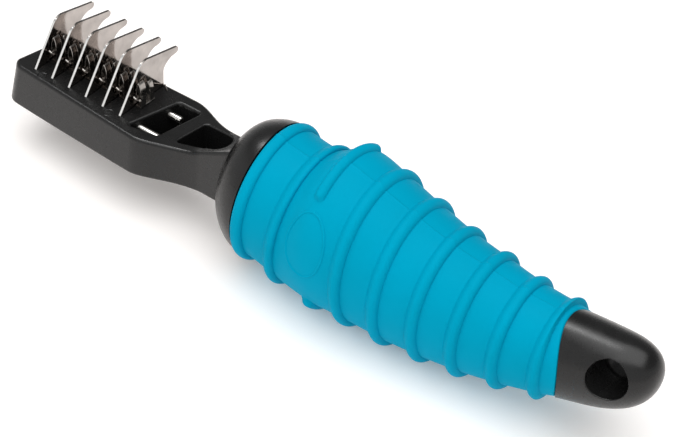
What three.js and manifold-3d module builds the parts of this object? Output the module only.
// Undercoat rake: six hooked steel blades standing in a black moulded head, which is
// plugged into a handle core that carries a ribbed rubber grip and ends in a drilled tail.
// Millimetres. X runs from the head to the tail, Z is up, and Y = 0 is the tool's mid plane.
import * as THREE from "three";
import { mergeVertices } from "three/addons/utils/BufferGeometryUtils.js";
import Module from "manifold-3d";

const wasm = await Module();
wasm.setup();

// ---- Driving dimensions -------------------------------------------------------------
const CLEARANCE = 0.3; // left between pieces that touch on the real tool
const THIN_GAP = 0.15; // the same, under the small clips

const BLADE_COUNT = 6;
const BLADE_PITCH = 5.5;
const BLADE_THICKNESS = 0.6;
const BLADE_ROOT_DEPTH = 5;
const BLADE_FRONT = -6.45; // the blade's near edge where it enters the head
const SLOT_END = 14; // past the head's far side, where the slots are open

const ROD_RADIUS = 0.9;
const ROD_OFFSET = 4.3; // each side of the mid plane
const ROD_DEPTH = 2.5; // axis below the head's top face
const ROD_START = -2.6;
const ROD_END = 38;

const HEAD_FRONT = -6.5; // at the top face's near corner
const HEAD_CORNER = 3.3; // front corners, seen from above
const HEAD_EDGE_ROUND = 0.9;
const HEAD_THICKNESS = 12;
const HEAD_SKEW = 0.33; // the front edge falls back this much per mm up to the mid plane
const HEAD_LEAN = 1.6; // the underside reaches this much further forward
const HEAD_DRAFT = 0.8; // and this much wider on each side
const HEAD_TAPER = { from: 0, to: 40 }; // where the underside rises to the neck
const NECK_THICKNESS = 11.1;
const NECK_RISE = { height: 1.2, from: 43, to: 58 }; // the neck's top lifts to the dome
const NECK_END = 61;
// Half width at the front corner, then the curve (x, y) from the shoulder to the neck.
const HEAD_NEAR = { front: 8.4, bend: [[34, 10.6], [38.2, 10.9], [43.5, 7], [52, 5.8]] };
const HEAD_FAR = { front: 9.3, bend: [[38, 10.5], [43, 10.4], [46.3, 6.9], [53, 6.2]] };
const TANG = { end: 88, halfWidth: 4.2, top: -1.6, bottom: -7.2 };
const TANG_PIN = { x: 76, radius: 1.25 };

const RIB_COUNT = 9;
const RIB_PITCH = 9.75;
const LIP_X = 70.9; // rib stations are counted from here
const RIB_HEIGHT = 1.5;
const RIB_HALF_WIDTH = 1.5;
const RIB_EASE = 0.13; // the share of its height a rib loses on top of the handle
const FRONT_EASE = 0.25; // the same, for the lip and the rib behind it
const RIB_LEANS = [-0.07, -0.085, 0.015, 0]; // of the first ribs: how far the top falls back, per mm
const LIP = { crest: 70.7, halfWidth: 1.5 };
const GRIP_FRONT = LIP.crest - LIP.halfWidth;
const GRIP_REAR = 153.6; // on the handle's axis
const GRIP_REAR_SLOPE = 0.09; // the rear edge leans the other way
const GRIP_REAR_BOW = 0.023; // and its top and bottom are swept forward, per square mm
const RUBBER = 2; // wall under the valleys
const SQUASH = 0.843; // width of the handle over its height
const BELLY_Z = -24.4; // plane the belly ribs stand on
const HANDLE_SIDES = 36;
const THUMB_RIB = 2; // index of the rib that stops at the side panels
const PANEL_LOW = -0.68; // the side panel's reach, as sine of the angle above the side
const PANEL_HIGH = 0.8;

const DOME_FRONT = 59.2;
const DOME_TIP = 6.4; // half height of its flat front
const DOME_MID = -3.6;
const DOME_FULLNESS = 1.87; // 2 would be an ellipse
const DOME_HALF_HEIGHT = 18.15;
const TAIL_END = 173.2;
const HOLE = { x: 164.2, z: 2, radius: 4.5 };

// Heights of the rib crests above and below the head's top face, from lip to last rib.
// One more station carries the lines past the last rib.
const CREST_TOP = [15.4, 14.6, 19.1, 16.9, 14.1, 11.7, 10.3, 9.2, 9.2, 9.1];
const CREST_BOTTOM = [-22.7, -24.5, -25.1, -24.9, -25, -24.3, -22.8, -20.4, -17.3, -14.6];

// ---- Materials ----------------------------------------------------------------------
const finish = (color, roughness, metalness) =>
  new THREE.MeshStandardMaterial({ color, roughness, metalness });
const BLACK = finish(0x262626, 0.5, 0);
const CYAN = finish(0x0aa3cc, 0.6, 0);
const STEEL = finish(0xb9b5ae, 0.25, 1);

// ---- Solids -------------------------------------------------------------------------
const part = new THREE.Group();
part.name = "undercoat_rake";

function solid(geometry) {
  const plain = geometry.index ? geometry.toNonIndexed() : geometry.clone();
  plain.deleteAttribute("normal");
  plain.deleteAttribute("uv");
  const merged = mergeVertices(plain, 1e-4);
  return new wasm.Manifold(
    new wasm.Mesh({
      numProp: 3,
      vertProperties: merged.attributes.position.array,
      triVerts: new Uint32Array(merged.index.array),
    }),
  );
}

function addPiece(name, body, material) {
  const raw = body.getMesh();
  const positions = new Float32Array(raw.numVert * 3);
  for (let i = 0; i < raw.numVert; i++) {
    const start = i * raw.numProp;
    positions.set(raw.vertProperties.subarray(start, start + 3), i * 3);
  }
  const geometry = new THREE.BufferGeometry();
  geometry.setAttribute("position", new THREE.BufferAttribute(positions, 3));
  geometry.setIndex(new THREE.BufferAttribute(new Uint32Array(raw.triVerts), 1));
  geometry.computeVertexNormals();
  const mesh = new THREE.Mesh(geometry, material);
  mesh.name = name;
  part.add(mesh);
}

function box(x0, x1, y0, y1, z0, z1) {
  const shape = new THREE.BoxGeometry(x1 - x0, y1 - y0, z1 - z0);
  return solid(shape.translate((x0 + x1) / 2, (y0 + y1) / 2, (z0 + z1) / 2));
}

function rodAlongX(x0, x1, y, z, radius, sides = 14) {
  const rod = new THREE.CylinderGeometry(radius, radius, x1 - x0, sides);
  return solid(rod.rotateZ(Math.PI / 2).translate((x0 + x1) / 2, y, z));
}

function rodAlongY(y0, y1, x, z, radius, sides = 28) {
  const rod = new THREE.CylinderGeometry(radius, radius, y1 - y0, sides);
  return solid(rod.translate(x, (y0 + y1) / 2, z));
}

// The same outline as straight pieces, with no point given twice.
function straightened(shape, segments) {
  const distinct = (points) =>
    points.filter((p, i) => p.distanceTo(points[(i + 1) % points.length]) > 1e-3);
  const found = shape.extractPoints(segments);
  return new THREE.Shape(distinct(found.shape));
}

// A plan outline (X, Y) raised from z0 to z1.
function raised(shape, z0, z1, curveSegments = 5) {
  const geometry = new THREE.ExtrudeGeometry(straightened(shape, curveSegments), {
    depth: z1 - z0,
    bevelEnabled: false,
  });
  return solid(geometry.translate(0, 0, z0));
}

// An outline drawn in (Y, Z), made `width` thick along X from x0.
function plateAcrossX(shape, x0, width, curveSegments = 6) {
  const geometry = new THREE.ExtrudeGeometry(straightened(shape, curveSegments), {
    depth: width,
    bevelEnabled: false,
  });
  const turn = new THREE.Matrix4().makeBasis(
    new THREE.Vector3(0, 1, 0),
    new THREE.Vector3(0, 0, 1),
    new THREE.Vector3(1, 0, 0),
  );
  return solid(geometry.applyMatrix4(turn).translate(x0, 0, 0));
}

// An outline drawn in (X, Z), made from y0 to y1.
function plateAcrossY(shape, y0, y1, curveSegments = 6) {
  const geometry = new THREE.ExtrudeGeometry(straightened(shape, curveSegments), {
    depth: y1 - y0,
    bevelEnabled: false,
  });
  return solid(geometry.rotateX(Math.PI / 2).translate(0, y1, 0));
}

// A skin over rings of equal point count. The ends are closed by "fans" round their middle
// or by "strips" across them; without caps, the last ring joins the first.
function skin(rings, caps) {
  const sides = rings[0].length;
  const points = rings.flat();
  const triangles = [];
  const spans = caps ? rings.length - 1 : rings.length;
  for (let r = 0; r < spans; r++) {
    const here = r * sides;
    const next = ((r + 1) % rings.length) * sides;
    for (let s = 0; s < sides; s++) {
      const t = (s + 1) % sides;
      triangles.push(here + s, here + t, next + s);
      triangles.push(here + t, next + t, next + s);
    }
  }
  if (caps === "strips") {
    for (const [ring, flip] of [[0, true], [rings.length - 1, false]]) {
      for (let s = 0; s < sides / 2 - 1; s++) {
        const [a, b] = [ring * sides + s, ring * sides + s + 1];
        const [c, d] = [(ring + 1) * sides - 2 - s, (ring + 1) * sides - 1 - s];
        triangles.push(...(flip ? [b, a, c, c, a, d] : [a, b, c, a, c, d]));
      }
    }
  }
  if (caps === "fans") {
    for (const [ring, flip] of [[0, true], [rings.length - 1, false]]) {
      const centre = new THREE.Vector3();
      rings[ring].forEach((p) => centre.addScaledVector(p, 1 / sides));
      points.push(centre);
      for (let s = 0; s < sides; s++) {
        const a = ring * sides + s;
        const b = ring * sides + ((s + 1) % sides);
        triangles.push(...(flip ? [b, a, points.length - 1] : [a, b, points.length - 1]));
      }
    }
  }
  const geometry = new THREE.BufferGeometry().setFromPoints(points);
  geometry.setIndex(triangles);
  return solid(geometry);
}

// ---- The handle's shape -------------------------------------------------------------
// Smooth curve through evenly spaced values, used for the handle's top and bottom lines.
function smoothThrough(values, position) {
  const last = values.length - 1;
  const at = Math.min(Math.max(position, 0), last);
  const i = Math.min(Math.floor(at), last - 1);
  const t = at - i;
  const before = values[Math.max(i - 1, 0)];
  const after = values[Math.min(i + 2, last)];
  const slopeIn = (values[i + 1] - before) / 2;
  const slopeOut = (after - values[i]) / 2;
  const rise = values[i + 1] - values[i];
  const square = 3 * rise - 2 * slopeIn - slopeOut;
  const cube = slopeIn + slopeOut - 2 * rise;
  return values[i] + t * (slopeIn + t * (square + t * cube));
}

// Mid height and half height of the grip's valleys at x.
function gripLine(x) {
  const position = (x - LIP_X) / RIB_PITCH;
  const top = smoothThrough(CREST_TOP, position) - RIB_HEIGHT;
  const bottom = smoothThrough(CREST_BOTTOM, position) + RIB_HEIGHT;
  return { mid: (top + bottom) / 2, half: (top - bottom) / 2 };
}

// One ring of the handle: `half` is its half height, `lift(sine)` is added outwards, and
// `slope` and `bow` sweep its points forward with their height.
function handleRing(x, mid, half, sides, options = {}) {
  const { slope = 0, bow = 0, lift = () => 0 } = options;
  const ring = [];
  for (let s = 0; s < sides; s++) {
    const angle = (s / sides) * 2 * Math.PI;
    const sine = Math.sin(angle);
    const radius = half + lift(sine);
    const width = half * SQUASH + lift(sine);
    const rise = radius * sine;
    const swept = x - slope * rise - bow * rise * rise;
    ring.push(new THREE.Vector3(swept, width * Math.cos(angle), mid + rise));
  }
  return ring;
}

// Rings `inset` under the valleys, from the lip to the slanted rear edge. The grip's bore
// and the core's seat share their stations, so the gap between them stays even.
function boreRings(inset) {
  const rings = [];
  const steps = 12;
  for (let i = 0; i <= steps; i++) {
    const x = GRIP_FRONT + ((GRIP_REAR - GRIP_FRONT) * i) / steps;
    const line = gripLine(x);
    const rear = smoothStep(x, GRIP_REAR - 12, GRIP_REAR - 2);
    const front = RIB_LEANS[0] * (1 - smoothStep(x, GRIP_FRONT, GRIP_FRONT + 8));
    const lean = { slope: GRIP_REAR_SLOPE * rear + front, bow: GRIP_REAR_BOW * rear };
    rings.push(handleRing(x, line.mid, line.half - inset, HANDLE_SIDES, lean));
  }
  return rings;
}

// ---- Blades -------------------------------------------------------------------------
function bladeOutline() {
  const shape = new THREE.Shape();
  shape.moveTo(BLADE_FRONT, 0);
  shape.lineTo(0.25, 9.95);
  shape.quadraticCurveTo(1.25, 11.5, 3.3, 11.55);
  shape.lineTo(14, 9.2);
  shape.absarc(14, 8.25, 0.95, Math.PI / 2, -Math.PI / 2, true);
  shape.lineTo(11.4, 7.1);
  shape.quadraticCurveTo(9.6, 6.6, 9.4, 4.6);
  shape.lineTo(9.4, 2);
  shape.quadraticCurveTo(9.4, 0.6, 9.9, 0);
  shape.lineTo(9.9, -3.2);
  shape.lineTo(8.6, -BLADE_ROOT_DEPTH);
  shape.lineTo(BLADE_FRONT, -BLADE_ROOT_DEPTH);
  shape.closePath();
  return shape;
}

function addBlades() {
  for (let i = 0; i < BLADE_COUNT; i++) {
    const x0 = i * BLADE_PITCH - BLADE_THICKNESS / 2;
    let blade = plateAcrossX(bladeOutline(), x0, BLADE_THICKNESS, 6);
    for (const side of [-1, 1]) {
      const hole = rodAlongX(x0 - 1, x0 + 2, side * ROD_OFFSET, -ROD_DEPTH, ROD_RADIUS + CLEARANCE);
      blade = blade.subtract(hole);
    }
    addPiece("blade_" + (i + 1), blade, STEEL);
  }
}

// ---- Clips: two hairpin fingers on a base strip, standing behind each blade ----------
const CLIP = { depth: 1.45, strip: 0.42, base: 0.5, from: -1.2, to: 4.4 };
const CLIP_FINGERS = [
  { from: -0.5, to: 1, top: 6.2 },
  { from: 2.6, to: 4.1, top: 5 },
];

function hairpin(x0, top) {
  const outer = CLIP.depth / 2;
  const inner = outer - CLIP.strip;
  const middle = x0 + outer;
  const bottom = THIN_GAP + CLIP.base / 2;
  const arch = new THREE.Shape();
  arch.moveTo(middle + outer, bottom);
  arch.absarc(middle, top - outer, outer, 0, Math.PI, false);
  arch.lineTo(middle - outer, bottom);
  arch.lineTo(middle - inner, bottom);
  arch.absarc(middle, top - outer, inner, Math.PI, 0, true);
  arch.lineTo(middle + inner, bottom);
  arch.closePath();
  return arch;
}

function addClips() {
  for (let i = 0; i < BLADE_COUNT; i++) {
    const x0 = i * BLADE_PITCH + BLADE_THICKNESS / 2 + THIN_GAP;
    const low = THIN_GAP;
    let clip = box(x0, x0 + CLIP.depth, CLIP.from, CLIP.to, low, low + CLIP.base);
    for (const finger of CLIP_FINGERS) {
      clip = clip.add(plateAcrossY(hairpin(x0, finger.top), finger.from, finger.to, 4));
    }
    addPiece("blade_clip_" + (i + 1), clip, STEEL);
  }
}

// ---- Retaining rods and tang pin -----------------------------------------------------
function addRods() {
  for (const [name, side] of [["blade_rod_near", -1], ["blade_rod_far", 1]]) {
    const rod = rodAlongX(ROD_START, ROD_END, side * ROD_OFFSET, -ROD_DEPTH, ROD_RADIUS);
    addPiece(name, rod, STEEL);
  }
  const middle = (TANG.top + TANG.bottom) / 2;
  const reach = DOME_HALF_HEIGHT * SQUASH - 3.4;
  addPiece("tang_pin", rodAlongY(-reach, reach, TANG_PIN.x, middle, TANG_PIN.radius, 14), STEEL);
}

// ---- Head -----------------------------------------------------------------------------
// The front edge isn't square to the sides: it falls back from the near corner.
function skewed(point) {
  const reach = Math.min(point.y, 0) + 6;
  const back = HEAD_SKEW * Math.max(reach, 0) + 0.1 * Math.max(point.y, 0);
  const front = 1 - smoothStep(point.x, HEAD_FRONT, HEAD_FRONT + 12);
  return new THREE.Vector2(point.x + back * front, point.y);
}

// The underside's outline: further forward and wider than the top's, up to the neck.
function splayed(point) {
  const front = 1 - smoothStep(point.x, HEAD_FRONT, HEAD_FRONT + 14);
  const side = 1 - smoothStep(point.x, 30, 50);
  const wider = HEAD_DRAFT * side * Math.max(-1, Math.min(point.y / 6, 1));
  return new THREE.Vector2(point.x - HEAD_LEAN * front, point.y + wider);
}

// One side of the head in plan, from the front corner to the neck's end.
function headEdge(edge, sign) {
  const points = [];
  const steps = 5;
  for (let i = 0; i <= steps; i++) {
    const angle = (Math.PI / 2) * (i / steps);
    const x = HEAD_FRONT + HEAD_CORNER * (1 - Math.cos(angle));
    points.push(new THREE.Vector2(x, edge.front - HEAD_CORNER * (1 - Math.sin(angle))));
  }
  const ends = edge.bend.map(([x, y]) => new THREE.Vector2(x, y));
  points.push(...new THREE.CubicBezierCurve(...ends).getPoints(8));
  points.push(new THREE.Vector2(NECK_END, ends[3].y));
  return points.map((p) => new THREE.Vector2(p.x, sign * p.y));
}

// An outline moved inwards by `distance`; it runs with the solid on its left.
function insetOutline(outline, distance) {
  const outward = (from, to) => new THREE.Vector2(to.y - from.y, from.x - to.x).normalize();
  return outline.map((point, i) => {
    const before = outward(outline.at(i - 1), point);
    const after = outward(point, outline[(i + 1) % outline.length]);
    const normal = before.clone().add(after).normalize();
    return point.clone().addScaledVector(normal, -distance / normal.dot(before));
  });
}

function headTop(x) {
  return NECK_RISE.height * smoothStep(x, NECK_RISE.from, NECK_RISE.to);
}

function headBottom(x) {
  const rise = HEAD_THICKNESS - NECK_THICKNESS;
  return -HEAD_THICKNESS + rise * smoothStep(x, HEAD_TAPER.from, HEAD_TAPER.to);
}

// The head's body: rounded top and bottom edges round the plan outline.
function headBody() {
  const edges = [...headEdge(HEAD_NEAR, -1), ...headEdge(HEAD_FAR, 1).reverse()];
  const outline = edges.map(skewed);
  const underside = outline.map(splayed);
  const rings = [];
  const steps = 3;
  for (let i = 0; i <= steps; i++) {
    const angle = (Math.PI / 2) * (i / steps);
    const plan = insetOutline(underside, HEAD_EDGE_ROUND * (1 - Math.sin(angle)));
    const lift = HEAD_EDGE_ROUND * (1 - Math.cos(angle));
    rings.push(plan.map((p) => new THREE.Vector3(p.x, p.y, headBottom(p.x) + lift)));
  }
  for (let i = 0; i <= steps; i++) {
    const angle = (Math.PI / 2) * (i / steps);
    const plan = insetOutline(outline, HEAD_EDGE_ROUND * (1 - Math.cos(angle)));
    const drop = HEAD_EDGE_ROUND * (1 - Math.sin(angle));
    rings.push(plan.map((p) => new THREE.Vector3(p.x, p.y, headTop(p.x) - drop)));
  }
  return skin(rings, "strips");
}

// A pocket outline with rounded corners, its half width tapering from `start` to `end`.
function pocketPlan(x0, x1, start, end, corner) {
  const plan = new THREE.Shape();
  plan.moveTo(x0 + corner, -start);
  plan.lineTo(x1 - corner, -end);
  plan.quadraticCurveTo(x1, -end, x1, -end + corner);
  plan.lineTo(x1, end - corner);
  plan.quadraticCurveTo(x1, end, x1 - corner, end);
  plan.lineTo(x0 + corner, start);
  plan.quadraticCurveTo(x0, start, x0, start - corner);
  plan.lineTo(x0, -start + corner);
  plan.quadraticCurveTo(x0, -start, x0 + corner, -start);
  return plan;
}

function addHead() {
  let head = headBody();
  const tang = box(NECK_END - 2, TANG.end, -TANG.halfWidth, TANG.halfWidth, TANG.bottom, TANG.top);
  head = head.add(tang);
  const rearPocket = pocketPlan(44.6, 53, 4.7, 3.4, 1.2);
  const bladePocket = pocketPlan(33, 40.6, 6.9, 6.9, 1);
  head = head.subtract(raised(bladePocket, -HEAD_THICKNESS + 2.2, 2));
  head = head.subtract(raised(rearPocket, -NECK_THICKNESS + 2.2, 2));
  for (let i = 0; i < BLADE_COUNT; i++) {
    const half = BLADE_THICKNESS / 2 + CLEARANCE;
    const x = i * BLADE_PITCH;
    const low = -BLADE_ROOT_DEPTH - CLEARANCE;
    const start = BLADE_FRONT - CLEARANCE;
    head = head.subtract(box(x - half, x + half, start, SLOT_END, low, 2));
  }
  for (const side of [-1, 1]) {
    const bore = ROD_RADIUS + CLEARANCE;
    const y = side * ROD_OFFSET;
    head = head.subtract(rodAlongX(ROD_START - 0.4, ROD_END, y, -ROD_DEPTH, bore));
  }
  for (const x of [BLADE_PITCH / 2 + 0.2, BLADE_PITCH * 4.5 - 0.2]) {
    const mark = new THREE.CylinderGeometry(1.2, 1.2, 0.4, 20).rotateX(Math.PI / 2);
    head = head.subtract(solid(mark.translate(x, -7.1, 0)));
  }
  const middle = (TANG.top + TANG.bottom) / 2;
  const pinBore = rodAlongY(-9, 9, TANG_PIN.x, middle, TANG_PIN.radius + CLEARANCE, 14);
  addPiece("rake_head", head.subtract(pinBore), BLACK);
}

// ---- Handle core: dome, seat for the grip, drilled tail ------------------------------

function domeRings() {
  const rings = [];
  const length = GRIP_FRONT - CLEARANCE - DOME_FRONT;
  for (const t of [0, 0.04, 0.12, 0.25, 0.42, 0.62, 0.82, 1]) {
    const round = Math.pow(1 - Math.pow(1 - t, DOME_FULLNESS), 1 / DOME_FULLNESS);
    const half = DOME_TIP + (DOME_HALF_HEIGHT - DOME_TIP) * round;
    const slope = RIB_LEANS[0] * smoothStep(t, 0.4, 1);
    rings.push(handleRing(DOME_FRONT + t * length, DOME_MID, half, HANDLE_SIDES, { slope }));
  }
  return rings;
}

// The seat follows the grip's inner wall from the dome to the slanted rear edge.
function seatRings() {
  const rings = boreRings(RUBBER + CLEARANCE);
  rings[0].forEach((point) => (point.x -= CLEARANCE));
  rings[rings.length - 1].forEach((point) => (point.x += CLEARANCE));
  return rings;
}

function smoothStep(value, low, high) {
  const t = Math.min(Math.max((value - low) / (high - low), 0), 1);
  return t * t * (3 - 2 * t);
}

function tailRings() {
  const rings = [];
  const from = GRIP_REAR + CLEARANCE;
  for (const t of [0, 0.12, 0.25, 0.4, 0.55, 0.68, 0.79, 0.88, 0.94, 0.98, 0.998]) {
    const x = from + (TAIL_END - from) * t;
    const taper = Math.pow(1 - Math.pow(t, 4.3), 1 / 2.2);
    const half = (10.9 - 2 * t) * taper;
    const mid = -3.5 + 5.3 * t;
    const fade = 1 - smoothStep(t, 0, 0.5);
    const lean = { slope: GRIP_REAR_SLOPE * fade, bow: GRIP_REAR_BOW * fade };
    rings.push(handleRing(x, mid, half, HANDLE_SIDES, lean));
  }
  return rings;
}

function addCore() {
  let core = skin([...domeRings(), ...seatRings(), ...tailRings()], "fans");
  const gap = CLEARANCE;
  const reach = TANG.halfWidth + gap;
  const low = TANG.bottom - gap;
  core = core.subtract(box(40, TANG.end + 1, -reach, reach, low, TANG.top + gap));
  const near = HEAD_NEAR.bend[3][1] + gap;
  const far = HEAD_FAR.bend[3][1] + gap;
  const socketTop = NECK_RISE.height + gap;
  core = core.subtract(box(40, NECK_END + gap, -near, far, -NECK_THICKNESS - gap, socketTop));
  const middle = (TANG.top + TANG.bottom) / 2;
  core = core.subtract(rodAlongY(-30, 30, TANG_PIN.x, middle, TANG_PIN.radius + gap, 14));
  core = core.subtract(rodAlongY(-30, 30, HOLE.x, HOLE.z, HOLE.radius));
  addPiece("handle_core", core, BLACK);
}

// ---- Rubber grip ------------------------------------------------------------------------
// Height of the rib roll at a distance from its crest.
function ribRoll(distance, halfWidth) {
  const t = Math.abs(distance) / halfWidth;
  return t >= 1 ? 0 : RIB_HEIGHT * Math.sqrt(1 - t * t);
}

function inPanel(sine) {
  return sine > PANEL_LOW && sine < PANEL_HIGH;
}

// How far the skin's rings lean at x: with the first ribs, and with the rear edge.
function skinLean(x) {
  const lastCrest = ribCrest(RIB_COUNT - 1);
  const rear = Math.max((x - lastCrest) / (GRIP_REAR - lastCrest), 0);
  const front = smoothThrough(RIB_LEANS, (x - LIP_X) / RIB_PITCH);
  return { slope: GRIP_REAR_SLOPE * rear + front, bow: GRIP_REAR_BOW * rear };
}

function ribCrest(rib) {
  return rib === 0 ? LIP.crest : LIP_X + rib * RIB_PITCH;
}

function gripOuterRings() {
  const rings = [];
  const addRing = (x, lift) => {
    const line = gripLine(x);
    rings.push(handleRing(x, line.mid, line.half, HANDLE_SIDES, { ...skinLean(x), lift }));
  };
  const plain = () => 0;
  for (let rib = 0; rib < RIB_COUNT; rib++) {
    const width = rib === 0 ? LIP.halfWidth : RIB_HALF_WIDTH;
    const ease = rib < THUMB_RIB ? FRONT_EASE : RIB_EASE;
    for (const offset of [-1, -0.7, 0, 0.7, 1]) {
      const height = ribRoll(offset * width, width);
      addRing(ribCrest(rib) + offset * width, (sine) => {
        const stands = rib !== THUMB_RIB || !inPanel(sine);
        return stands ? height * (1 - ease * Math.max(sine, 0)) : 0;
      });
    }
    if (rib < RIB_COUNT - 1) addRing(LIP_X + (rib + 0.5) * RIB_PITCH, plain);
  }
  addRing(GRIP_REAR, plain);
  return rings;
}

function addGrip() {
  const grip = skin([...gripOuterRings(), ...boreRings(RUBBER).reverse()], null);
  const below = box(GRIP_FRONT - 5, GRIP_REAR + 10, -30, 30, BELLY_Z - 10, BELLY_Z);
  addPiece("grip_sleeve", grip.subtract(below), CYAN);
}

addHead();
addBlades();
addClips();
addRods();
addCore();
addGrip();

// Standing on the belly ribs, centred over the origin.
const extent = new THREE.Box3().setFromObject(part);
part.position.set(-(extent.min.x + extent.max.x) / 2, 0, -BELLY_Z);

export default part;
